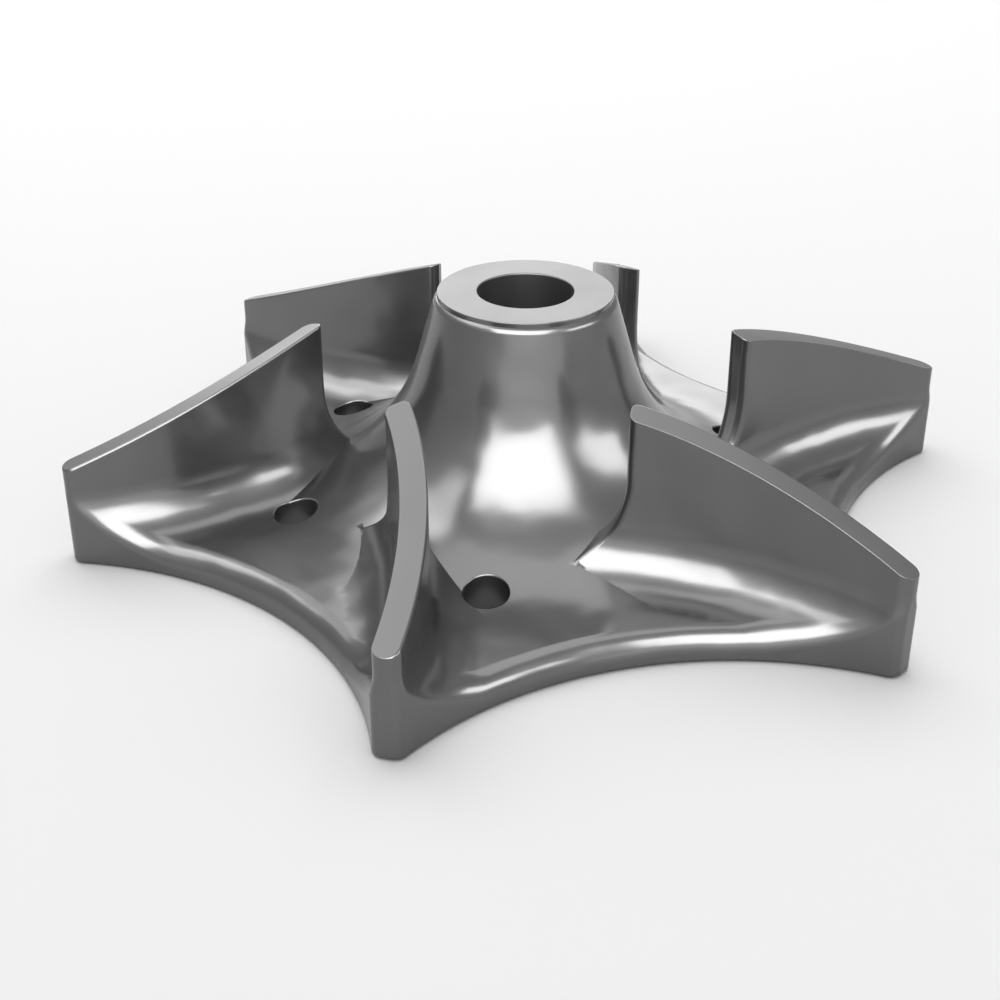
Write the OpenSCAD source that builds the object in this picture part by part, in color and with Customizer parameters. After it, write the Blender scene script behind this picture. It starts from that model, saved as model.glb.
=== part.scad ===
// Open pump impeller: one casting with a bored hub, a scalloped back plate and curved vanes.
// The bore runs along Z through the origin, the flat back of the plate lies on Z = 0,
// and the tip of the first vane points along +X.

/* [Hub] */
// Height of the hub above the back of the plate
hub_h = 29.2; // [26:0.1:40]
// Diameter of the flat face on top of the hub
hub_face_d = 22; // [18:0.5:28]
// Round on the rim of the top face
rim_round = 0.5; // [0.2:0.1:1]
// Height of the upright land under that round
rim_land = 0.7; // [0.3:0.1:2]
// Lean of the hub's flank from upright
flank_angle = 16.2; // [8:0.1:24]
// Radius of the flare from the flank out to the plate
flare_r = 22.7; // [14:0.1:28]
// Shaft bore
bore_d = 12; // [6:0.1:14]

/* [Back plate] */
// Diameter over the vane tips
tip_d = 116; // [104:1:140]
// Diameter inside the scallops
waist_d = 82.7; // [76:0.1:92]
// Thickness of the plate
plate_t = 3.5; // [3:0.1:6]
// Round on the top edge of each scallop
edge_r = 2.6; // [0.8:0.1:2.8]

/* [Vanes] */
// Number of vanes
vane_count = 6; // [5:1:7]
// Thickness of a vane
vane_t = 3.1; // [2.4:0.1:4]
// Radius at which the vanes begin
inlet_r = 26.5; // [25:0.1:32]
// Angle that a vane wraps round the hub, from tip to inner end
wrap_angle = 19.6; // [14:0.1:26]
// Lean of a vane's tip from radial
outlet_lean = 1.7; // [0:0.1:4]
// Height of a vane at its inner end, above the back of the plate
inlet_h = 24; // [20:0.1:28]
// Height of a vane at its tip, above the back of the plate
outlet_h = 12.3; // [11:0.1:18]
// Fillet along both sides of a vane's foot
foot_r = 6.3; // [3:0.1:7]
// Radius in which a vane's inner edge runs forward on to the hub
bow_r = 12; // [8:0.1:14]
// Round on the upright corners of the tips, of the vane and of the plate under it
corner_r = 1.1; // [0.5:0.1:1.2]

/* [Balance holes] */
// Diameter of a balance hole
hole_d = 5.4; // [3:0.1:6]
// Diameter of the circle that the holes lie on
hole_circle_d = 61.6; // [58:0.1:66]
// Angle from a vane's tip round to its hole
hole_angle = 5.8; // [3:0.1:9]

/* [Hidden] */
$fn = 72;

// a fillet's arc dips this far into both faces that it joins, so that it meets them in a clear edge
lap = 0.03;
// a cut runs this far past the face that it opens
past = 2;
pitch = 360 / vane_count;
tip_r = tip_d / 2;
waist_r = waist_d / 2;

// the hub's flank is the line from land_foot, and the flare is the circle that touches it and the plate
land_r = hub_face_d / 2 + rim_round;
land_foot_h = hub_h - rim_round - rim_land;
flare_h = plate_t + flare_r - lap;
flare_centre_r = land_r + (land_foot_h - flare_h) * tan(flank_angle) + (flare_r - lap) / cos(flank_angle);
flank_touch = [
    flare_centre_r - (flare_r - lap) * cos(flank_angle),
    flare_h - (flare_r - lap) * sin(flank_angle)
];

// a vane's centreline is the arc through its tip and its inner end, with the set lean at the tip
inner_end = inlet_r * [cos(wrap_angle), -sin(wrap_angle)];
chord = inner_end - [tip_r, 0];
to_centre = [-sin(outlet_lean), -cos(outlet_lean)];
vane_r = (chord * chord) / (2 * to_centre * chord);
vane_centre = [tip_r, 0] + vane_r * to_centre;
tip_turn = 90 - outlet_lean;
end_turn = tip_turn + 2 * asin(norm(chord) / (2 * vane_r));
bow_turn = asin(bow_r / vane_r);
spare_turn = 6;

// a scallop is the circle through the waist and the ends of two neighbouring vanes' sides
tip_side = [tip_r, vane_t / 2];
mid_pitch = [cos(pitch / 2), sin(pitch / 2)];
scallop_centre_r = (tip_side * tip_side - waist_r * waist_r) / (2 * (tip_side * mid_pitch - waist_r));
scallop_r = scallop_centre_r - waist_r;

// the round on a corner of the plate's tip touches the scallop and the tip circle
round_centre_r = tip_r - corner_r + lap;
round_angle = pitch / 2 - acos(
    (pow(scallop_centre_r, 2) + pow(round_centre_r, 2) - pow(scallop_r + corner_r - lap, 2))
    / (2 * scallop_centre_r * round_centre_r)
);
plate_round = round_centre_r * [cos(round_angle), sin(round_angle)];
to_scallop = scallop_centre_r * mid_pitch - plate_round;
vane_round = [tip_r - corner_r + lap, vane_t / 2 - corner_r + lap];

// one copy of the children for each vane
module each_pitch() {
    for (i = [0 : vane_count - 1])
        rotate([0, 0, i * pitch])
            children();
}

// the hub and the plate in section, from the axis outwards
module base_section() {
    rim_arc = [
        for (turn = [0 : 15 : 90])
            [land_r - rim_round * (1 - cos(turn)), hub_h - rim_round * (1 - sin(turn))]
    ];
    difference() {
        polygon(concat(
            [
                [0, 0],
                [tip_r + past, 0],
                [tip_r + past, plate_t],
                [flare_centre_r, plate_t],
                [flare_centre_r, flare_h],
                flank_touch,
                [land_r, land_foot_h]
            ],
            rim_arc,
            [[0, hub_h]]
        ));
        translate([flare_centre_r, flare_h])
            circle(flare_r);
    }
}

// the opening between two tips
module scallop() {
    rotate([0, 0, pitch / 2])
        translate([scallop_centre_r, 0, -past])
            cylinder(r = scallop_r, h = inlet_h + 2 * past);
}

// what the round on a scallop's top edge takes off
module scallop_edge() {
    rotate([0, 0, pitch / 2])
        translate([scallop_centre_r, 0, 0])
            rotate_extrude()
                difference() {
                    translate([scallop_r - past, plate_t - edge_r + lap])
                        square([edge_r - lap + past, edge_r + past]);
                    translate([scallop_r + edge_r - lap, plate_t - edge_r + lap])
                        circle(edge_r);
                }
}

// a vane in section, from the centre of its own arc outwards
module vane_section() {
    translate([vane_r - vane_t / 2, 0])
        square([vane_t, inlet_h + past]);
}

// the foot of a vane in section: the block between its two fillets
module foot_section() {
    foot_h = plate_t + foot_r - lap;
    foot_reach = vane_t / 2 + foot_r - lap;
    difference() {
        translate([vane_r - foot_reach, 0])
            square([2 * foot_reach, foot_h]);
        for (side = [-1, 1])
            translate([vane_r + side * foot_reach, foot_h])
                circle(foot_r);
    }
}

// what lies in front of a vane's inner edge, which runs forward on to the hub near the plate
module ahead_of_vane() {
    reach = vane_t + 4 * foot_r;
    translate([vane_centre[0], vane_centre[1], 0])
        rotate([0, 0, end_turn])
            translate([vane_r + reach / 2, 0, 0])
                rotate([90, 0, -90])
                    linear_extrude(reach)
                        union() {
                            translate([-2 * bow_r, plate_t])
                                square([bow_r + lap, inlet_h + past]);
                            translate([-2 * bow_r, plate_t + bow_r])
                                square([2 * bow_r, inlet_h + past]);
                            translate([lap - bow_r, plate_t + bow_r])
                                circle(bow_r);
                        }
}

// everything under the slanted tops of the vanes
module under_vane_tops() {
    slope = (inlet_h - outlet_h) / (tip_r - inlet_r);
    run_out = tip_r + 3 * past;
    rotate_extrude()
        polygon([
            [0, 0],
            [run_out, 0],
            [run_out, inlet_h - slope * (run_out - inlet_r)],
            [0, inlet_h + slope * inlet_r]
        ]);
}

// a section given as children, run along a vane's arc and cut back at the vane's inner edge
module along_vane() {
    difference() {
        translate([vane_centre[0], vane_centre[1], 0])
            rotate_extrude(
                angle = end_turn - tip_turn + bow_turn + spare_turn,
                start = tip_turn - spare_turn
            )
                children();
        ahead_of_vane();
    }
}

// everything outside the tip circle
module beyond_tips() {
    rotate_extrude()
        translate([tip_r, -past])
            square([6 * past, inlet_h + 2 * past]);
}

// what the rounds on a tip's two corners take off: they have this centre, and touch the tip and the
// face that lies this way from it
module tip_corners(centre, way) {
    reach = 2 * corner_r * way / norm(way);
    for (flip = [0, 1])
        mirror([0, flip, 0])
            translate([centre[0], centre[1], -past])
                linear_extrude(inlet_h + 2 * past)
                    difference() {
                        polygon([[0, 0], reach, reach + [2 * corner_r, 0], [2 * corner_r, 0]]);
                        circle(corner_r);
                    }
}

// the hub, and the plate with the vanes' feet on it
module base() {
    difference() {
        union() {
            difference() {
                rotate_extrude()
                    base_section();
                each_pitch()
                    scallop_edge();
            }
            each_pitch()
                along_vane()
                    foot_section();
        }
        beyond_tips();
        each_pitch()
            scallop();
        each_pitch()
            tip_corners(plate_round, to_scallop);
    }
}

module vane() {
    difference() {
        intersection() {
            along_vane()
                vane_section();
            under_vane_tops();
        }
        beyond_tips();
        tip_corners(vane_round, [0, 1]);
    }
}

module impeller() {
    color("silver")
        difference() {
            union() {
                base();
                each_pitch()
                    vane();
            }
            translate([0, 0, -past])
                cylinder(d = bore_d, h = hub_h + 2 * past);
            each_pitch()
                rotate([0, 0, hole_angle])
                    translate([hole_circle_d / 2, 0, -past])
                        cylinder(d = hole_d, h = hub_h);
        }
}

impeller();
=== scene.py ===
import math

import bpy
import numpy as np
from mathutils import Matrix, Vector
from mathutils.geometry import delaunay_2d_cdt


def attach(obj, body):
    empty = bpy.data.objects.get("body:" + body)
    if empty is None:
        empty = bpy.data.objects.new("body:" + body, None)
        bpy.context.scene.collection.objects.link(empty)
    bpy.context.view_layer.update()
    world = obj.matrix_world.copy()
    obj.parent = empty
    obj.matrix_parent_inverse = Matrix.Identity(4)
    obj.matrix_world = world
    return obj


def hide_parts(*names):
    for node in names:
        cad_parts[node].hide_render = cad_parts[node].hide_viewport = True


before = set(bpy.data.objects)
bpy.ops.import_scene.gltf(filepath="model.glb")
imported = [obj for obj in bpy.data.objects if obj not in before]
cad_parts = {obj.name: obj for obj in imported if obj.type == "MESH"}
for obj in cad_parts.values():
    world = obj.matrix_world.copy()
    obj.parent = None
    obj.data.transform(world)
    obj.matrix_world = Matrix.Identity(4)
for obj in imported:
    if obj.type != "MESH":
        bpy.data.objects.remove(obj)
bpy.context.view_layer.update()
print("frame loaded:", len(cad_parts), "node")

# The casting in millimetres, the same values as the CAD: the first vane's tip lies on +X
casting = {
    "pitches": 6,
    "hubHeight": 29.2,
    "hubFaceRadius": 11.0,
    "rimRound": 0.5,
    "rimLand": 0.7,
    "flankAngle": 16.2,
    "flareRadius": 22.7,
    "boreRadius": 6.0,
    "tipRadius": 58.0,
    "waistRadius": 41.35,
    "plateThickness": 3.5,
    "edgeRound": 2.6,
    "vaneThickness": 3.1,
    "inletRadius": 26.5,
    "wrapAngle": 19.6,
    "outletLean": 1.7,
    "inletHeight": 24.0,
    "outletHeight": 12.3,
    "footRound": 6.3,
    "bowRound": 12.0,
    "holeRadius": 2.7,
    "holeCircle": 30.8,
    "holeAngle": 5.8,
    # small forms that only the looks have
    "tipRound": 1.4,  # upright corners of a tip, a little fuller than in the CAD
    "shoulderRound": 1.2,  # under the step round the hub's face
    "shoulderDrop": 0.15,
    "faceEdge": 0.12,
    "innerRound": 1.1,  # corners of an inner edge where it stands upright
    "bowCorner": 0.4,  # what that round shrinks to on the hub
    "bowCornerFade": 4.0,  # the height that it takes to shrink in
    "topRounds": (0.35, 0.03),  # vane tops, on the leading side and on the trailing side and tip
    "edgeBreak": 0.2,  # bore, holes and back
}

# How fine the mesh is, in millimetres and counts
grid = {
    "hubRing": 21.0,  # inside this radius the casting is a plain turned shape
    "hubSteps": 36,
    "flareSteps": 24,
    "shoulderSteps": 8,
    "breakSteps": 4,
    "borePoints": 12,
    "spacing": 0.9,
    "fillReach": 52.0,  # loose points are set out up to this radius
    "rowShare": 0.92,  # their rows lie a little closer than the points in a row
    "footRings": 13,
    "frontShares": (0.75, 0.5, 0.25, 0.0),  # points across half of a foot's front
    "cornerSteps": 7,
    "plateCornerSteps": 6,
    "scallopSteps": 59,
    "edgeRings": 8,
    "narrowEdge": 0.2,  # where the round on the plate's edge is narrower, it gets no rings
    "holeSteps": 48,
    "holeRings": (0.06, 0.2, 0.55),
    "wallRows": (0, 0.05, 0.11, 0.17, 0.24, 0.31, 0.40, 0.52, 0.68, 0.84, 1),
    "uprightShare": 0.7,  # of a wall's columns; the rest follow the inner edge forward
    "dropRows": 4,
    "breakRows": 3,
    "roundRows": 4,
    "spokePoints": 14,
}

# What counts as the same place, in millimetres, and how thin a triangle is a flat one
close = {"point": 1e-3, "crease": 2e-3, "crossing": 5e-3, "flat": 1e-4}

tipR, plateT, footR = casting["tipRadius"], casting["plateThickness"], casting["footRound"]
halfVane, cornerR = casting["vaneThickness"] / 2, casting["tipRound"]
edgeR, breakR = casting["edgeRound"], casting["edgeBreak"]
footTop, bowTop = plateT + footR, plateT + casting["bowRound"]
capSlope = (casting["inletHeight"] - casting["outletHeight"]) / (tipR - casting["inletRadius"])
pitch = 2 * math.pi / casting["pitches"]


def unit(v):
    return v / np.linalg.norm(v)


def polar(radius, angle):
    radius, angle = np.broadcast_arrays(radius, angle)
    return np.stack([radius * np.cos(angle), radius * np.sin(angle)], -1)


def turned(points, angle):
    c, s = math.cos(angle), math.sin(angle)
    return np.asarray(points) @ np.array([[c, s], [-s, c]])


def length(v):
    return np.hypot(v[..., 0], v[..., 1])


# hub section: a leaning flank, then the circle that touches it and the plate
lean = math.radians(casting["flankAngle"])
landR = casting["hubFaceRadius"] + casting["rimRound"]
landFoot = casting["hubHeight"] - casting["rimRound"] - casting["rimLand"]
flareR = casting["flareRadius"]
flareZ = plateT + flareR
flareX = landR + (landFoot - flareZ) * math.tan(lean) + flareR / math.cos(lean)

# vane centreline: the arc through its tip and its inner end, with the set lean at the tip
wrap, outlet = math.radians(casting["wrapAngle"]), math.radians(casting["outletLean"])
toCentre = -np.array([math.sin(outlet), math.cos(outlet)])
chord = polar(casting["inletRadius"], -wrap) - [tipR, 0]
vaneR = chord @ chord / (2 * toCentre @ chord)
vaneCentre = np.array([tipR, 0]) + vaneR * toCentre
endTurn = math.pi / 2 - outlet + 2 * math.asin(np.linalg.norm(chord) / (2 * vaneR))
endPoint = vaneCentre + polar(vaneR, endTurn)
ahead = np.array([-math.sin(endTurn), math.cos(endTurn)])  # the way the inner edge faces
sideSteps = round(np.linalg.norm(chord) / grid["spacing"])

# scallop: the circle through the waist and the outer ends of two vanes' sides
tipSide, midPitch = np.array([tipR, halfVane]), polar(1.0, pitch / 2)
waistR = casting["waistRadius"]
scallopX = (tipSide @ tipSide - waistR**2) / (2 * (tipSide @ midPitch - waistR))
scallopR, scallopCentre = scallopX - waistR, scallopX * midPitch


def mirrored(points):
    # across the middle of the pitch
    p = turned(points, -pitch / 2) * [1, -1]
    return turned(p, pitch / 2)


# the plate's tip has a corner round of its own, which touches the scallop
cornerX = tipR - cornerR
cornerY = scallopCentre[1] - math.sqrt((scallopR + cornerR) ** 2 - (scallopCentre[0] - cornerX) ** 2)
plateCorner = np.array([cornerX, cornerY])

hole = polar(casting["holeCircle"], math.radians(casting["holeAngle"]))
holeR = casting["holeRadius"]


def vaneCorner(side):
    # centre of the round on the tip's corner: side 1 is the leading, outward bent side and -1 the other
    reach = vaneR + side * (halfVane - cornerR)
    return np.array([cornerX, vaneCentre[1] + math.sqrt(reach**2 - (cornerX - vaneCentre[0]) ** 2)])


def onVane(off, s):
    # the point this far off the centreline and this far ahead of the inner end
    r = vaneR + off
    return vaneCentre + polar(r, endTurn + np.arcsin(s / r))


def reachBelow(radius, top, z):
    # how far a round of this radius has run out at height z, from where it leaves the upright
    drop = np.clip(top - z, 0, radius)
    return radius - np.sqrt(radius**2 - drop**2)


def bowReach(z):
    return reachBelow(casting["bowRound"], bowTop, z)


def noseRound(z):
    share = np.clip((footTop - z) / casting["bowCornerFade"], 0, 1)
    return casting["innerRound"] + (casting["bowCorner"] - casting["innerRound"]) * share


def baseHeight(p):
    inside = np.clip(flareX - length(p), 0, flareR * math.cos(lean))
    return flareZ - np.sqrt(flareR**2 - inside**2)


def vaneGap(p):
    # distance from the upright faces of the first vane, round the corners of its tip too
    gap = np.abs(length(p - vaneCentre) - vaneR) - halfVane
    for side in (1, -1):
        q = p - vaneCorner(side)
        away = side * unit(vaneCorner(side) - vaneCentre)
        wedge = (side * q[..., 1] > 0) & (side * (away[0] * q[..., 1] - away[1] * q[..., 0]) < 0)
        gap = np.where(wedge, length(q) - cornerR, gap)
    return gap


def footDepth(gap, s, z):
    # how deep a point lies inside the first vane's foot
    w = reachBelow(footR, footTop, z) - gap
    b = bowReach(z) - s
    r = noseRound(z)
    corner = (w < r) & (b < r)
    return np.where(corner, r - np.hypot(r - w, r - b), np.minimum(w, b))


def footHeight(p):
    # found by halving between the plate and the foot's top
    gap, s = vaneGap(p), (p - endPoint) @ ahead
    low = np.full(gap.shape, plateT)
    high = np.full(gap.shape, footTop)
    bare = footDepth(gap, s, low) < 0
    full = footDepth(gap, s, high) > -1e-7
    for _ in range(36):
        mid = (low + high) / 2
        deep = footDepth(gap, s, mid) >= 0
        low, high = np.where(deep, mid, low), np.where(deep, high, mid)
    return np.where(full, footTop, np.where(bare, 0.0, low))


def floorHeight(p):
    return np.maximum(baseHeight(p), np.maximum(footHeight(p), footHeight(turned(p, -pitch))))


def floorNormal(p):
    # height and normal of the floor, from the surface that lies on top there
    heights = [baseHeight(p), footHeight(p), footHeight(turned(p, -pitch))]
    top = np.argmax(heights, 0)
    height = np.max(heights, 0)
    r = length(p)
    inside = np.clip(flareX - r, 0, None) / flareR
    normal = np.concatenate([p / r[:, None] * inside[:, None], np.sqrt(1 - inside**2)[:, None]], 1)
    h = 1e-4
    for k in (0, 1):
        on = top == k + 1
        if not on.any():
            continue
        q = turned(p[on], -k * pitch)
        z = np.clip(height[on], plateT + 2 * h, footTop - 2 * h)

        def depth(dx, dy, dz):
            moved = q + [dx, dy]
            return footDepth(vaneGap(moved), (moved - endPoint) @ ahead, z + dz)

        slope = np.stack([
            depth(h, 0, 0) - depth(-h, 0, 0),
            depth(0, h, 0) - depth(0, -h, 0),
            depth(0, 0, h) - depth(0, 0, -h),
        ], 1)
        slope /= -np.linalg.norm(slope, axis=1)[:, None]
        slope[:, :2] = turned(slope[:, :2], k * pitch)
        normal[on] = slope
    return height, normal


def edgeDistance(p):
    # distance in from the plate's outline, and the way in
    q = p - scallopCentre
    away = length(q)
    distance, inward = away - scallopR, q / away[:, None]
    for axis in (polar(1.0, 0.0), polar(1.0, pitch)):
        tip = tipR - p @ axis
        closer = tip < distance
        distance = np.where(closer, tip, distance)
        inward = np.where(closer[:, None], -axis, inward)
    for c, axis in ((plateCorner, polar(1.0, 0.0)), (mirrored(plateCorner), polar(1.0, pitch))):
        q = p - c
        toScallop = unit(scallopCentre - c)
        cross = toScallop[0] * axis[1] - toScallop[1] * axis[0]
        a = (q[:, 0] * axis[1] - q[:, 1] * axis[0]) / cross
        b = (toScallop[0] * q[:, 1] - toScallop[1] * q[:, 0]) / cross
        wedge = (a > 0) & (b > 0)
        far = length(q) + 1e-9
        distance = np.where(wedge, cornerR - far, distance)
        inward = np.where(wedge[:, None], -q / far[:, None], inward)
    return distance, inward


def edgeSlope(p, distance, inward):
    # how steeply the floor climbs inwards from the outline, where the round on the edge begins
    step, steepest = 0.03, 50
    rim = p - inward * distance[:, None]
    rise = (floorHeight(rim + step * inward) - floorHeight(rim)) / step
    return np.arctan(np.clip(rise, 0, steepest))


def leaning(flat, upShare, normal):
    # a surface's normal leant over by a round: part of it lies flat, and part keeps the surface's own way
    return np.concatenate([flat + upShare[:, None] * normal[:, :2], upShare[:, None] * normal[:, 2:]], 1)


def skin(p, normals=False):
    # the casting's upper skin: the floor with its rolled edge and the broken edge of the hole
    distance, inward = edgeDistance(p)
    tilt = edgeSlope(p, distance, inward)
    reach = edgeR * (1 - np.sin(tilt))
    e = np.clip(distance, 0, reach)
    cosine = 1 - e / edgeR
    sine = np.sqrt(1 - cosine**2)
    drop = np.tan(tilt) * (e - reach) + edgeR * np.cos(tilt) - edgeR * sine
    toHole = hole - p
    out = np.clip(length(toHole) - holeR, 0, breakR)
    holeCosine = 1 - out / breakR
    holeSine = np.sqrt(1 - holeCosine**2)
    if not normals:
        return floorHeight(p) - drop - breakR * (1 - holeSine)
    height, normal = floorNormal(p)
    rolled = (distance < reach)[:, None]
    outward = -inward * (cosine - sine * np.tan(tilt))[:, None] * normal[:, 2:]
    normal = np.where(rolled, leaning(outward, sine, normal), normal)
    broken = (out < breakR)[:, None]
    inHole = toHole / length(toHole)[:, None] * holeCosine[:, None] * normal[:, 2:]
    normal = np.where(broken, leaning(inHole, holeSine, normal), normal)
    return normal / np.linalg.norm(normal, axis=1)[:, None]


def capHeight(p):
    return casting["inletHeight"] - capSlope * (length(p) - casting["inletRadius"])


def capNormal(p):
    n = np.concatenate([capSlope * p / length(p)[:, None], np.ones((len(p), 1))], 1)
    return n / np.linalg.norm(n, axis=1)[:, None]


def cornerArc(centre, radius, fromWay, toWay, steps):
    a, b = (math.atan2(w[1], w[0]) for w in (fromWay, toWay))
    b = a + (b - a + math.pi) % (2 * math.pi) - math.pi
    ways = polar(1.0, np.linspace(a, b, steps + 1))
    return centre + radius * ways, ways


def halfOutline(side, z, spread=0.0, inset=0.0, fronts=(0.0,)):
    # one side of a vane at height z, from the middle of its tip to the middle of its front, with its ways out
    steps = grid["cornerSteps"]
    c = vaneCorner(side)
    away = side * unit(c - vaneCentre)
    tipArc, tipWays = cornerArc(c, cornerR + spread - inset, (1, 0), away, steps)
    nose = float(noseRound(z)) - inset
    front = float(bowReach(z)) - inset
    noseOff = side * (halfVane + spread - inset - nose)
    start = math.atan2(*(c - vaneCentre)[::-1])
    stops = [endTurn + math.asin((f - nose) / (vaneR + noseOff)) for f in (-inset, front)]
    share = np.linspace(0, 1, sideSteps + 1)[1:-1]
    follow = np.clip((share - grid["uprightShare"]) / (1 - grid["uprightShare"]), 0, 1) ** 2
    turns = start + share * (stops[0] - start) + follow * (stops[1] - stops[0])
    sideWays = side * polar(1.0, turns)
    sides = vaneCentre + polar(vaneR + side * (halfVane + spread - inset), turns)
    noseCentre = onVane(noseOff, front - nose)
    noseArc, noseWays = cornerArc(noseCentre, nose, side * unit(noseCentre - vaneCentre), ahead, steps)
    frontLine = [onVane(noseOff * f, front) for f in fronts]
    points = np.concatenate([[[tipR + spread - inset, 0]], tipArc, sides, noseArc, frontLine])
    ways = np.concatenate([[[1, 0]], tipWays, sideWays, noseWays, [ahead] * len(fronts)])
    return points, ways


def triangulated(lines, points, opening):
    # Delaunay triangles inside the first line that keep all the lines, less those in an opening
    verts, edges = [], []
    for line in lines:
        first = len(verts)
        verts += [Vector(p) for p in line]
        edges += [(first + i, first + i + 1) for i in range(len(line) - 1)]
    verts += [Vector(p) for p in points]
    out = delaunay_2d_cdt(verts, edges, [], 0, close["point"], False)
    plan, triangles = np.array([v[:] for v in out[0]], float), np.array([f[:] for f in out[2]])
    # where two lines cross right beside a point, the crossing joins that point
    target = np.arange(len(plan))
    for i, j in ((0, 1), (1, 2), (2, 0)):
        pairs = np.sort(triangles[:, [i, j]], 1)
        for a, b in pairs[length(plan[pairs[:, 0]] - plan[pairs[:, 1]]) < close["crossing"]]:
            target[b] = min(target[b], target[a])
    triangles = target[triangles]
    apart = (triangles != np.roll(triangles, 1, 1)).all(1)
    corners = plan[triangles]
    sides = corners - np.roll(corners, 1, 1)
    area = np.cross(sides[:, 0], sides[:, 1])
    apart &= np.abs(area) > close["flat"] * np.linalg.norm(sides, axis=2).max(1)
    centres = corners.mean(1)
    apart &= within(centres, lines[0][:-1]) & ~within(centres, opening)
    return plan, np.where((area < 0)[:, None], triangles[:, ::-1], triangles)[apart]


def within(points, outline):
    # even-odd test against a closed outline
    x, y = points[:, 0][:, None], points[:, 1][:, None]
    x1, y1 = outline[:, 0], outline[:, 1]
    x2, y2 = np.roll(x1, -1), np.roll(y1, -1)
    spans = (y1 > y) != (y2 > y)
    with np.errstate(divide="ignore", invalid="ignore"):
        crossing = x1 + (y - y1) / (y2 - y1) * (x2 - x1)
    return (spans & (x < crossing)).sum(1) % 2 == 1


def rimLoops(triangles):
    # the open edges of a set of triangles, as closed runs of vertices
    directed = {(a, b) for t in triangles for a, b in ((t[0], t[1]), (t[1], t[2]), (t[2], t[0]))}
    following = {a: b for a, b in directed if (b, a) not in directed}
    loops = []
    while following:
        start = next(iter(following))
        loop = [start]
        step = following.pop(start)
        while step != start:
            loop.append(step)
            step = following.pop(step)
        loops.append(loop)
    return sorted(loops, key=len, reverse=True)


def nearest(points, target):
    return int(np.argmin(length(points - np.asarray(target))))


mesh = {"verts": [], "faces": [], "normals": [], "machined": []}


def addFaces(verts, faces, cornerNormals, machined=False):
    # joins a patch to the mesh, less the points that it doesn't use
    used, faces = np.unique(faces, return_inverse=True)
    first = len(mesh["verts"])
    mesh["verts"] += np.asarray(verts)[used].tolist()
    mesh["faces"] += (first + faces.reshape(len(cornerNormals), -1)).tolist()
    mesh["normals"] += np.asarray(cornerNormals).reshape(-1, 3).tolist()
    mesh["machined"] += [machined] * len(cornerNormals)


def addGrid(points, normals, machined=False):
    # a patch of rows and columns, turned to the side that its normals are on
    index = np.arange(points.shape[0] * points.shape[1]).reshape(points.shape[:2])
    quads = np.stack([index[:-1, :-1], index[:-1, 1:], index[1:, 1:], index[1:, :-1]], -1).reshape(-1, 4)
    points, normals = points.reshape(-1, 3), normals.reshape(-1, 3)
    across = np.cross(points[quads[:, 2]] - points[quads[:, 0]], points[quads[:, 3]] - points[quads[:, 1]])
    if (across * normals[quads[:, 0]]).sum() < 0:
        quads = quads[:, ::-1]
    addFaces(points, quads, normals[quads], machined)


def upright(plan, z):
    # flat points or ways, with a third coordinate
    return np.concatenate([plan, np.broadcast_to(z, len(plan))[:, None]], 1)


# the floor between the first vane and the next

spacing = grid["spacing"]
convex, concave = halfOutline(1, footTop)[0][1:], turned(halfOutline(-1, footTop)[0][1:], pitch)


def seamHeight(s):
    # height of the inner edge this far ahead of its upright part
    return bowTop - math.sqrt(casting["bowRound"] ** 2 - (casting["bowRound"] - s) ** 2)


# the inner edge runs into the hub here
near, far = float(bowReach(footTop)), casting["bowRound"]
for _ in range(40):
    middle = (near + far) / 2
    buried = baseHeight(onVane(0.0, middle)[None])[0] > seamHeight(middle)
    near, far = (near, middle) if buried else (middle, far)
creaseStart, creaseTop = onVane(0.0, near), seamHeight(near)

ringTurns = np.linspace(0, math.pi / 2, grid["footRings"] + 1)[1:]
ringLevels = [footTop - footR * math.sin(a) for a in ringTurns]
seamEnd = polar(grid["hubRing"], -pitch / 2)
seam = [onVane(0.0, float(bowReach(z))) for z in [footTop] + [z for z in ringLevels if z > creaseTop]]
seamSteps = math.ceil(np.linalg.norm(seamEnd - creaseStart) / spacing)
seam = np.array(seam + [creaseStart + (seamEnd - creaseStart) * i / seamSteps for i in range(seamSteps + 1)])


def footLine(side, z):
    spread = float(reachBelow(footR, footTop, z))
    return halfOutline(side, z, spread, fronts=grid["frontShares"])[0]


def creaseLine(side):
    # where the foot runs into the hub's flare, from the flat plate to the middle of the inner edge
    points = []
    for i in range(1, len(footLine(side, plateT)) - 1):
        low, high = plateT, footTop
        if baseHeight(footLine(side, low)[i]) < low + 1e-6:
            continue
        for _ in range(24):
            middle = (low + high) / 2
            buried = baseHeight(footLine(side, middle)[i]) > middle
            low, high = (middle, high) if buried else (low, middle)
        points.append(footLine(side, low)[i])
    return np.array(points + [creaseStart])


def cutPieces(line, cutter):
    # a line in pieces, cut wherever it crosses the cutter
    pieces = [[line[0]]]
    q, r = cutter[:-1], np.diff(cutter, axis=0)
    for a, b in zip(line[:-1], line[1:]):
        d, away = b - a, q - a
        cross = d[0] * r[:, 1] - d[1] * r[:, 0]
        t = (away[:, 0] * r[:, 1] - away[:, 1] * r[:, 0]) / cross
        u = (away[:, 0] * d[1] - away[:, 1] * d[0]) / cross
        for hit in sorted(t[(t > 0) & (t < 1) & (u >= 0) & (u <= 1)]):
            pieces[-1].append(a + hit * d)
            pieces.append([a + hit * d])
        pieces[-1].append(b)
    return [np.array(p) for p in pieces]


lines, creases = [], []
for side, angle in ((1, 0), (-1, pitch)):
    crease = creaseLine(side)
    for z in ringLevels:
        for piece in cutPieces(footLine(side, z)[1:], crease):
            if np.mean(baseHeight(piece)) < z:
                lines.append(turned(piece, angle))
    creases.append(turned(crease, angle))
lines += creases

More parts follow.
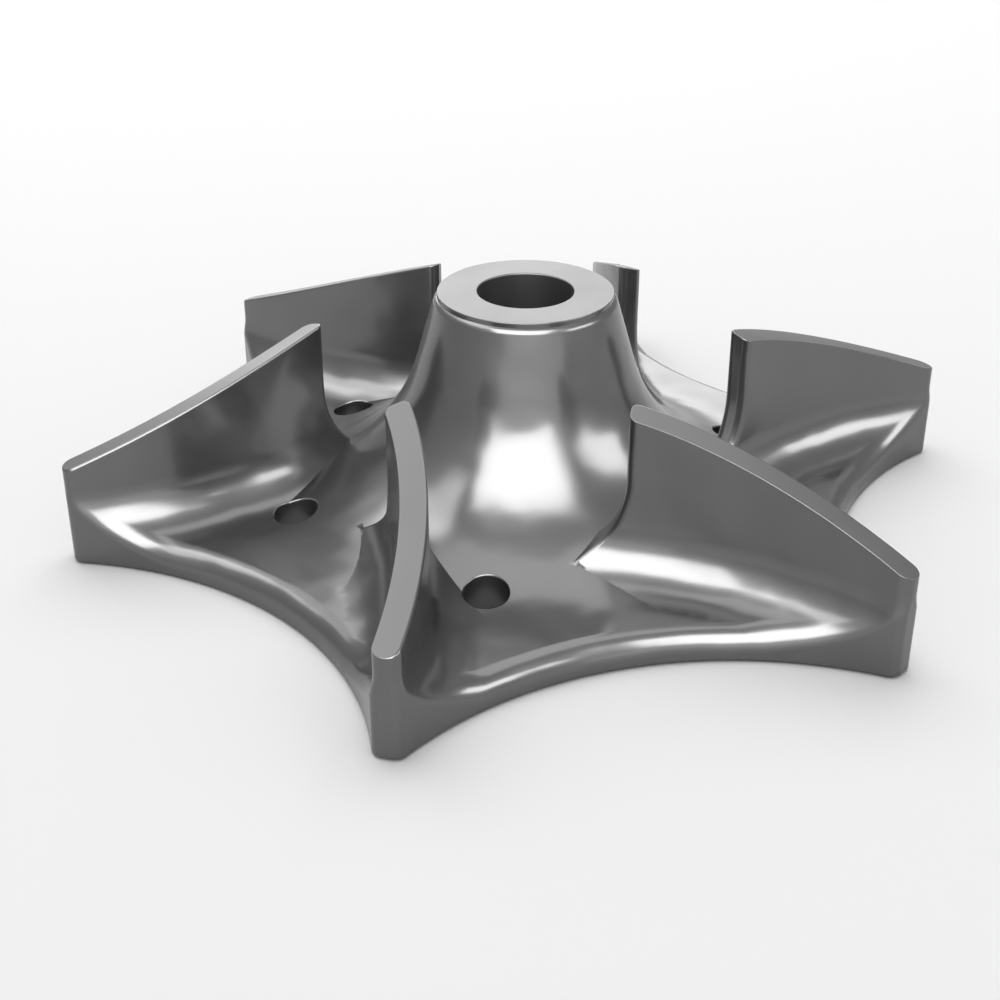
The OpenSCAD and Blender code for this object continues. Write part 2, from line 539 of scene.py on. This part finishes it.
plateArc = cornerArc(plateCorner, cornerR, (1, 0), scallopCentre - plateCorner, grid["plateCornerSteps"])[0]
fromCentre = [c - scallopCentre for c in (plateCorner, mirrored(plateCorner))]
scallopArc = cornerArc(scallopCentre, scallopR, *fromCentre, grid["scallopSteps"])[0]
plateLine = np.concatenate([convex[:1], plateArc, scallopArc[1:-1], mirrored(plateArc)[::-1], concave[:1]])

distance, inward = edgeDistance(plateLine)
reach = edgeR * (1 - np.sin(edgeSlope(plateLine, distance, inward)))
narrow = np.nonzero(reach < grid["narrowEdge"])[0]
wide = slice(narrow[narrow < len(reach) / 2][-1] + 1, narrow[narrow > len(reach) / 2][0])
for j in range(1, grid["edgeRings"] + 1):
    e = reach * (1 - math.cos(math.pi / 2 * j / grid["edgeRings"]))
    lines.append((plateLine + inward * e[:, None])[wide])

around = np.linspace(0, 2 * math.pi, grid["holeSteps"] + 1)
holeLine = hole + polar(holeR, around)
lines += [hole + polar(holeR + r, around) for r in grid["holeRings"]]
hubArc = polar(grid["hubRing"], np.linspace(-pitch / 2, pitch / 2, grid["hubSteps"] + 1))
seamB = turned(seam, pitch)
border = (plateLine, concave, seamB, hubArc[::-1], seam[::-1], convex[::-1])
outline = np.concatenate([line[:-1] for line in border])

rows = []
for row, r in enumerate(np.arange(grid["hubRing"] + spacing, grid["fillReach"], spacing * grid["rowShare"])):
    count = round(r * pitch / spacing)
    angles = (np.arange(count) + 0.5 * (row % 2)) * pitch / count
    rows += [polar(r, angles - pitch / 2), polar(r, angles + pitch / 2)]
fill = np.concatenate(rows)
fixed = np.concatenate(lines + [outline, holeLine])
fill = fill[within(fill, outline)]
fill = fill[floorHeight(fill) < baseHeight(fill) + 1e-6]
fill = fill[length(fill - hole) > holeR + spacing]
gaps = np.sqrt(((fill[:, None] - fixed[None]) ** 2).sum(2)).min(1)
fill = fill[gaps > 0.5 * spacing]

closedOutline = np.concatenate([outline, outline[:1]])
plan, triangles = triangulated([closedOutline, holeLine] + lines, fill, holeLine[:-1])
heights = skin(plan)
for line in (convex, concave):
    for p in line:
        heights[nearest(plan, p)] = footTop
onCrease = np.zeros(len(plan), bool)
for crease in creases:
    for a, b in zip(crease[:-1], crease[1:]):
        along = np.clip((plan - a) @ (b - a) / ((b - a) @ (b - a)), 0, 1)
        onCrease |= length(plan - a - along[:, None] * (b - a)) < close["crease"]
# beside a crease, a corner's normal is read this far into its own triangle
stepIn = 0.015
shift = plan[triangles].mean(1)[:, None] - plan[triangles]
shift *= stepIn / np.maximum(np.linalg.norm(shift, axis=2, keepdims=True), stepIn)
shift *= onCrease[triangles][..., None]
cornerNormals = skin((plan[triangles] + shift).reshape(-1, 2), normals=True).reshape(-1, 3, 3)
addFaces(upright(plan, heights), triangles, cornerNormals)
print("floor of one pitch:", len(triangles), "triangles")

# the upright edge of the plate, the hole, and the flat back

loops = rimLoops([tuple(t) for t in triangles])
outer, inner = loops[0], loops[1]
start, stop = nearest(plan[outer], convex[0]), nearest(plan[outer], concave[0])
outer = outer[start:] + outer[:start]
outer = outer[: (stop - start) % len(outer) + 1]
tipEnds = [[[tipR, 0, footTop]], [[*polar(tipR, pitch), footTop]]]
edge = np.concatenate([tipEnds[0], upright(plan[outer], heights[outer]), tipEnds[1]])
edgeWays = -edgeDistance(edge[:, :2])[1]
edgeWays[0], edgeWays[-1] = polar(1.0, 0.0), polar(1.0, pitch)
rim = upright(plan[inner + inner[:1]], heights[inner + inner[:1]])
rimWays = (hole - rim[:, :2]) / length(hole - rim[:, :2])[:, None]


def addDrop(line, ways):
    # an upright face from a line down to the back, with its broken edge; gives its last row back
    shares = np.linspace(1, 0, grid["dropRows"] + 1)
    rows = [upright(line[:, :2], breakR + (line[:, 2] - breakR) * f) for f in shares]
    addGrid(np.array(rows), np.array([upright(ways, 0.0)] * len(rows)))
    turns = np.linspace(0, math.pi / 2, grid["breakRows"] + 1)
    rows = [upright(line[:, :2] - ways * breakR * (1 - np.cos(a)), breakR * (1 - np.sin(a))) for a in turns]
    addGrid(np.array(rows), np.array([upright(ways * np.cos(a), -np.sin(a)) for a in turns]))
    return rows[-1][:, :2]


backEdge, backHole = addDrop(edge, edgeWays), addDrop(rim, rimWays)
boreR = casting["boreRadius"]
boreArc = polar(boreR + breakR, np.linspace(0, pitch, grid["hubSteps"] + 1))
spokeLine = np.linspace(boreR + breakR, tipR - breakR, grid["spokePoints"])
spokes = [polar(spokeLine, a) for a in (0.0, pitch)]
backLine = np.concatenate([backEdge[:-1], spokes[1][::-1][:-1], boreArc[::-1][:-1], spokes[0][:-1]])
plan, triangles = triangulated([np.concatenate([backLine, backLine[:1]]), backHole], [], backHole[:-1])
addFaces(upright(plan, 0.0), triangles[:, ::-1], np.broadcast_to([0, 0, -1], (len(triangles), 3, 3)))

# the vane: upright walls, rounded top edges, and the slanted top


def topRound(points, ways):
    # changes over evenly where the outline turns, and is halfway on the inner end
    spokes = points - vaneCentre
    across = (ways * spokes).sum(1) / np.linalg.norm(spokes, axis=1)
    wide, narrow = casting["topRounds"]
    return narrow + (wide - narrow) * np.clip(np.maximum(across, 0.5 * (ways @ ahead)), 0, 1)


caps = []
for side in (1, -1):
    top, ways = halfOutline(side, bowTop)
    topR = topRound(top, ways)
    tops = capHeight(top) - topR
    rows, faces = [], []
    # only the points round the nose lean forward with the inner edge
    nosePart = np.arange(len(top)) > len(top) - grid["cornerSteps"] - 3
    for f in grid["wallRows"]:
        z = footTop + f * (tops - footTop)
        row = np.array([halfOutline(side, z[i])[0][i] for i in range(len(top))])
        bow = np.clip(bowTop - z, 0, None)
        bow = bow / np.sqrt(casting["bowRound"] ** 2 - bow**2) * (ways @ ahead) * nosePart
        rows.append(upright(row, z))
        faces.append(upright(ways, bow) / np.hypot(1, bow)[:, None])
    addGrid(np.array(rows), np.array(faces))
    rows, faces = [], []
    for a in np.linspace(0, math.pi / 2, grid["roundRows"] + 1):
        insets = topR * (1 - math.cos(a))
        row = np.array([halfOutline(side, bowTop, inset=insets[i])[0][i] for i in range(len(top))])
        rows.append(upright(row, capHeight(row) - topR * (1 - math.sin(a))))
        faces.append(upright(ways, 0.0) * math.cos(a) + capNormal(row) * math.sin(a))
    addGrid(np.array(rows), np.array([n / np.linalg.norm(n, axis=1)[:, None] for n in faces]))
    caps.append(rows[-1])
between = (caps[0] + caps[1]) / 2
between[:, 2] = capHeight(between[:, :2])
between[1], between[-2] = caps[0][0], caps[0][-1]
columns = [c[1:-1] for c in (caps[0], between, caps[1])]
addGrid(np.array(columns), np.array([capNormal(c[:, :2]) for c in columns]), True)

# the hub, turned from its section: stretches of radius, height and the way that they face


def roundStretch(x, z, radius, start, stop, steps, bulge=1):
    ways = polar(1.0, np.radians(np.linspace(start, stop, steps + 1)))
    return np.concatenate([[x, z] + radius * ways, bulge * ways], 1)


hubTop, faceR, drop = casting["hubHeight"], casting["hubFaceRadius"], casting["shoulderDrop"]
shoulderR, faceEdge = casting["shoulderRound"], casting["faceEdge"]
ringTurn = 180 + math.degrees(math.acos((flareX - grid["hubRing"]) / flareR))
flank = (flareX - flareR * math.cos(lean), flareZ - flareR * math.sin(lean))
# the shoulder touches the flank just under the CAD's land and ends at the step
shoulder = (landR + drop * math.tan(lean), landFoot - drop)
shoulderX, shoulderZ = shoulder[0] - shoulderR * math.cos(lean), shoulder[1] - shoulderR * math.sin(lean)
stepTurn = math.acos((faceR - shoulderX) / shoulderR)
flareTurns, shoulderTurns = (ringTurn, 180 + math.degrees(lean)), (math.degrees(lean), math.degrees(stepTurn))
breakSteps = grid["breakSteps"]
castSkin = [
    roundStretch(flareX, flareZ, flareR, *flareTurns, grid["flareSteps"], -1),
    [(*p, math.cos(lean), math.sin(lean)) for p in (flank, shoulder)],
    roundStretch(shoulderX, shoulderZ, shoulderR, *shoulderTurns, grid["shoulderSteps"]),
    [(faceR, z, 1, 0) for z in (shoulderZ + shoulderR * math.sin(stepTurn), hubTop - faceEdge)],
    roundStretch(faceR - faceEdge, hubTop - faceEdge, faceEdge, 0, 90, breakSteps),
]
faceAndBore = [
    [(r, hubTop, 0, 1) for r in (faceR - faceEdge, (faceR + boreR) / 2, boreR + breakR)],
    roundStretch(boreR + breakR, hubTop - breakR, breakR, 90, 180, breakSteps),
    [(boreR, z, -1, 0) for z in np.linspace(hubTop - breakR, breakR, grid["borePoints"])],
    roundStretch(boreR + breakR, breakR, breakR, 180, 270, breakSteps),
]
turns = np.linspace(-pitch / 2, pitch / 2, grid["hubSteps"] + 1)
for stretches, machined in ((castSkin, False), (faceAndBore, True)):
    for stretch in stretches:
        s = np.array(stretch)
        points = [upright(polar(s[:, 0], a), s[:, 1]) for a in turns]
        faces = [upright(polar(s[:, 2], a), s[:, 3]) for a in turns]
        addGrid(np.array(points), np.array(faces), machined)
print("one pitch:", len(mesh["faces"]), "faces")

# repeated round the hub and joined up

modelling = {"joinWithin": 1e-6}  # metres, far under any real edge


def addNode(tree, kind, links=(), inputs=(), **settings):
    node = tree.nodes.new(kind)
    for key, value in settings.items():
        setattr(node, key, value)
    for key, value in dict(inputs).items():
        node.inputs[key].default_value = value
    for key, socket in dict(links).items():
        tree.links.new(socket, node.inputs[key])
    return node


def linear(hexColour):
    # an sRGB hex value as linear light
    parts = [int(hexColour[i:i + 2], 16) / 255 for i in (1, 3, 5)]
    return tuple(c / 12.92 if c <= 0.04045 else ((c + 0.055) / 1.055) ** 2.4 for c in parts) + (1.0,)


def newMaterial(name):
    material = bpy.data.materials.new(name)
    material.use_nodes = True
    material.node_tree.nodes.clear()
    return material, material.node_tree


# Polished stainless casting: lost-wax surface, then belt and mop polished. The eye sees soft mirror-like
# streaks that break up slightly where the casting's skin still undulates.
polished = {
    "colour": "#707070",
    "darker": "#6a6a6a",
    "roughness": (0.18, 0.24),
    "haze": 0.33,  # share of the light that the casting's fine pits scatter
    "hazeRoughness": 0.5,
    "cloud": 9.0,  # mm, patches where the mop has cut more or less
    "ripple": 8.0,  # mm, undulation left from the casting
    "rippleDepth": 0.36,
    "grain": 0.9,  # mm; the real polishing grain is finer than a pixel, so it is drawn coarser
    "grainDepth": 0.0016,
}

# The same steel where it was faced and ground afterwards: a satin that looks paler than the polish
ground = {
    "colour": "#6b6b6b",
    "darker": "#676767",
    "roughness": (0.36, 0.44),
    "haze": 0.2,
    "hazeRoughness": 0.6,
    "cloud": 12.0,
    "lines": 0.5,  # mm between tool marks; real ones lie closer than a pixel
    "linesDepth": 0.0012,
}

noiseReach = (0.3, 0.7)  # what a noise pattern hardly ever leaves


def steel(name, look, turnedLines):
    # a sharp reflection with a rougher one over it, patchy from the mop, and either ripples or tool marks
    material, tree = newMaterial(name)
    place = addNode(tree, "ShaderNodeTexCoord").outputs["Object"]
    output = addNode(tree, "ShaderNodeOutputMaterial")
    shader = addNode(tree, "ShaderNodeBsdfPrincipled", inputs={"Metallic": 1.0})
    haze = addNode(tree, "ShaderNodeBsdfPrincipled",
                   inputs={"Metallic": 1.0, "Roughness": look["hazeRoughness"]})
    blend = addNode(tree, "ShaderNodeMixShader",
                    {1: shader.outputs[0], 2: haze.outputs[0]}, {"Fac": look["haze"]})
    tree.links.new(blend.outputs[0], output.inputs["Surface"])
    cloud = addNode(tree, "ShaderNodeTexNoise",
                    {"Vector": place}, {"Scale": 1000 / look["cloud"], "Detail": 3.0})
    least, most = noiseReach
    low, high = look["roughness"]
    rough = addNode(tree, "ShaderNodeMapRange", {"Value": cloud.outputs["Fac"]},
                    {"From Min": least, "From Max": most, "To Min": low, "To Max": high})
    tree.links.new(rough.outputs["Result"], shader.inputs["Roughness"])
    tint = addNode(tree, "ShaderNodeMix", {"Factor": cloud.outputs["Fac"]},
                   {6: linear(look["darker"]), 7: linear(look["colour"])}, data_type="RGBA")
    if turnedLines:
        split = addNode(tree, "ShaderNodeSeparateXYZ", {0: place})
        flat = addNode(tree, "ShaderNodeCombineXYZ", {"X": split.outputs["X"], "Y": split.outputs["Y"]})
        radius = addNode(tree, "ShaderNodeVectorMath", {0: flat.outputs[0]}, operation="LENGTH")
        along = addNode(tree, "ShaderNodeCombineXYZ", {"X": radius.outputs["Value"]})
        marks = addNode(tree, "ShaderNodeTexNoise",
                        {"Vector": along.outputs[0]}, {"Scale": 1000 / look["lines"], "Detail": 1.0})
        bump = addNode(tree, "ShaderNodeBump", {"Height": marks.outputs["Fac"]},
                       {"Distance": look["linesDepth"] / 1000, "Strength": 1.0})
    else:
        ripple = addNode(tree, "ShaderNodeTexNoise",
                         {"Vector": place}, {"Scale": 1000 / look["ripple"], "Detail": 1.0})
        wide = addNode(tree, "ShaderNodeBump", {"Height": ripple.outputs["Fac"]},
                       {"Distance": look["rippleDepth"] / 1000, "Strength": 1.0})
        grain = addNode(tree, "ShaderNodeTexNoise",
                        {"Vector": place}, {"Scale": 1000 / look["grain"], "Detail": 2.0})
        bump = addNode(tree, "ShaderNodeBump", {"Height": grain.outputs["Fac"], "Normal": wide.outputs[0]},
                       {"Distance": look["grainDepth"] / 1000, "Strength": 1.0})
    for lobe in (shader, haze):
        tree.links.new(tint.outputs[2], lobe.inputs["Base Color"])
        tree.links.new(bump.outputs[0], lobe.inputs["Normal"])
    return material


polishedSteel = steel("polishedStainlessCasting", polished, False)
groundSteel = steel("groundStainlessFace", ground, True)

pitchMesh = bpy.data.meshes.new("onePitch")
pitchMesh.from_pydata([[c / 1000 for c in v] for v in mesh["verts"]], [], mesh["faces"])
facing = pitchMesh.attributes.new("facing", "FLOAT_VECTOR", "CORNER")
facing.data.foreach_set("vector", np.ravel(mesh["normals"]))
machined = pitchMesh.attributes.new("machined", "BOOLEAN", "FACE")
machined.data.foreach_set("value", mesh["machined"])
for material in (polishedSteel, groundSteel):
    pitchMesh.materials.append(material)
onePitch = bpy.data.objects.new("onePitch", pitchMesh)
bpy.context.collection.objects.link(onePitch)


def repeatTree():
    tree = bpy.data.node_groups.new("roundTheHub", "GeometryNodeTree")
    ports = tree.interface
    ports.new_socket("Geometry", in_out="INPUT", socket_type="NodeSocketGeometry")
    ports.new_socket("Pitches", in_out="INPUT", socket_type="NodeSocketInt")
    ports.new_socket("Join Within", in_out="INPUT", socket_type="NodeSocketFloat")
    ports.new_socket("Geometry", in_out="OUTPUT", socket_type="NodeSocketGeometry")
    given = addNode(tree, "NodeGroupInput").outputs
    points = addNode(tree, "GeometryNodePoints", {"Count": given["Pitches"]})
    # each copy turns by its share of the circle, and its faces note which copy they belong to
    index = addNode(tree, "GeometryNodeInputIndex").outputs[0]
    share = addNode(tree, "ShaderNodeMath", {0: index, 1: given["Pitches"]}, operation="DIVIDE")
    turn = addNode(tree, "ShaderNodeMath", {0: share.outputs[0]}, {1: 2 * math.pi}, operation="MULTIPLY")
    way = addNode(tree, "ShaderNodeCombineXYZ", {"Z": turn.outputs[0]})
    copies = addNode(tree, "GeometryNodeInstanceOnPoints",
                     {"Points": points.outputs[0], "Instance": given["Geometry"], "Rotation": way.outputs[0]})
    solid = addNode(tree, "GeometryNodeRealizeInstances", {0: copies.outputs[0]})
    size = addNode(tree, "GeometryNodeAttributeDomainSize", {0: given["Geometry"]}, component="MESH")
    which = addNode(tree, "ShaderNodeMath", {0: index, 1: size.outputs["Face Count"]}, operation="DIVIDE")
    whole = addNode(tree, "ShaderNodeMath", {0: which.outputs[0]}, operation="FLOOR")
    marked = addNode(tree, "GeometryNodeStoreNamedAttribute",
                     {"Geometry": solid.outputs[0], "Value": whole.outputs[0]},
                     {"Name": "pitch"}, data_type="FLOAT", domain="FACE")
    joined = addNode(tree, "GeometryNodeMergeByDistance",
                     {"Geometry": marked.outputs[0], "Distance": given["Join Within"]})
    cast = addNode(tree, "GeometryNodeSetMaterial",
                   {"Geometry": joined.outputs[0]}, {"Material": polishedSteel})
    machined = addNode(tree, "GeometryNodeInputNamedAttribute",
                       inputs={"Name": "machined"}, data_type="BOOLEAN")
    faced = addNode(tree, "GeometryNodeSetMaterial",
                    {"Geometry": cast.outputs[0], "Selection": machined.outputs["Attribute"]},
                    {"Material": groundSteel})
    addNode(tree, "NodeGroupOutput", {0: faced.outputs[0]})
    return tree


repeat = onePitch.modifiers.new("roundTheHub", "NODES")
repeat.node_group = repeatTree()
for name, value in (("Pitches", casting["pitches"]), ("Join Within", modelling["joinWithin"])):
    repeat[repeat.node_group.interface.items_tree[name].identifier] = value
whole = bpy.data.meshes.new_from_object(onePitch.evaluated_get(bpy.context.evaluated_depsgraph_get()))
onePitch.modifiers.clear()
bpy.data.objects.remove(onePitch)
bpy.data.meshes.remove(pitchMesh)

# the true surface normals go back on, turned with each copy
normals, copyOf = np.zeros(len(whole.loops) * 3), np.zeros(len(whole.polygons))
whole.attributes["facing"].data.foreach_get("vector", normals)
whole.attributes["pitch"].data.foreach_get("value", copyOf)
normals = normals.reshape(-1, 3)
corners = np.zeros(len(whole.polygons), int)
whole.polygons.foreach_get("loop_total", corners)
angles = np.repeat(np.round(copyOf) * pitch, corners)
x, y = normals[:, 0].copy(), normals[:, 1].copy()
normals[:, 0] = x * np.cos(angles) - y * np.sin(angles)
normals[:, 1] = x * np.sin(angles) + y * np.cos(angles)
for name in ("facing", "pitch", "machined"):
    whole.attributes.remove(whole.attributes[name])
whole.shade_smooth()
whole.normals_split_custom_set(normals.tolist())
whole.name = "impellerCasting"
impeller = bpy.data.objects.new("impellerCasting", whole)
bpy.context.collection.objects.link(impeller)
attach(impeller, "root")
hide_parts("impeller")
print("casting:", len(whole.polygons), "faces")

# floor, lamps and camera

studio = {
    "floor": "#fbfbfb",
    "floorSize": 6,
    "floorDrop": 0.0002,  # metres under the casting's back, so that the two don't lie in one plane
    "surroundings": "#ffffff",
    "strength": 0.54,
    "reach": 0.9,  # metres from the casting to each lamp
    # turn and height in degrees, width and depth in metres, brightness, whether it lights the floor
    "lamps": {
        "keySoftbox": (-110, 45, 1.0, 0.72, 7.8, False),
        "leftSoftbox": (165, 54, 0.7, 0.35, 3.4, False),
        "rightSoftbox": (-34, 28, 0.55, 0.25, 7.0, False),
        "backSoftbox": (80, 21, 0.8, 0.42, 3.6, False),
        "overheadSoftbox": (86, 62, 1.2, 0.9, 1.6, True),
        "lowFrontSoftbox": (-97, 9, 1.2, 0.26, 0.8, False),
    },
}


def addFloor():
    bpy.ops.mesh.primitive_plane_add(size=studio["floorSize"], location=(0, 0, -studio["floorDrop"]))
    floor = bpy.context.object
    floor.name = "floor"
    material, tree = newMaterial("paleStudioFloor")
    output = addNode(tree, "ShaderNodeOutputMaterial")
    paper = addNode(tree, "ShaderNodeBsdfDiffuse", inputs={"Color": linear(studio["floor"])})
    tree.links.new(paper.outputs[0], output.inputs["Surface"])
    floor.data.materials.append(material)


def addLamp(name, azimuth, elevation, width, depth, brightness, lightsFloor):
    data = bpy.data.lights.new(name, "AREA")
    data.shape, data.size, data.size_y = "RECTANGLE", width, depth
    data.energy = math.pi * width * depth * brightness
    lamp = bpy.data.objects.new(name, data)
    turn, height = math.radians(azimuth), math.radians(elevation)
    way = Vector((math.cos(turn) * math.cos(height), math.sin(turn) * math.cos(height), math.sin(height)))
    lamp.location = studio["reach"] * way
    lamp.rotation_euler = (-lamp.location).to_track_quat("-Z", "Y").to_euler()
    lamp.visible_camera, lamp.visible_diffuse = False, lightsFloor
    bpy.context.collection.objects.link(lamp)


addFloor()
for name, lamp in studio["lamps"].items():
    addLamp(name, *lamp)

world = bpy.data.worlds.new("studio")
world.use_nodes = True
backdrop = world.node_tree.nodes["Background"]
backdrop.inputs[0].default_value = linear(studio["surroundings"])
backdrop.inputs[1].default_value = studio["strength"]
bpy.context.scene.world = world
bpy.context.scene.view_settings.view_transform = "Standard"

# fitted to the photograph together with the casting's sizes; metres, and millimetres for the lens and sensor
view = {
    "place": (-0.05233, -0.17939, 0.10057),
    "aim": (-0.003057, 0.000836, -0.000352),
    "lens": 57.64,
    "sensor": 36.0,
    "nearest": 0.01,
}
cameraData = bpy.data.cameras.new("camera")
cameraData.lens, cameraData.sensor_width = view["lens"], view["sensor"]
cameraData.clip_start = view["nearest"]
camera = bpy.data.objects.new("camera", cameraData)
camera.location = view["place"]
camera.rotation_euler = (Vector(view["aim"]) - Vector(view["place"])).to_track_quat("-Z", "Y").to_euler()
bpy.context.collection.objects.link(camera)
bpy.context.scene.camera = camera
print("studio set")
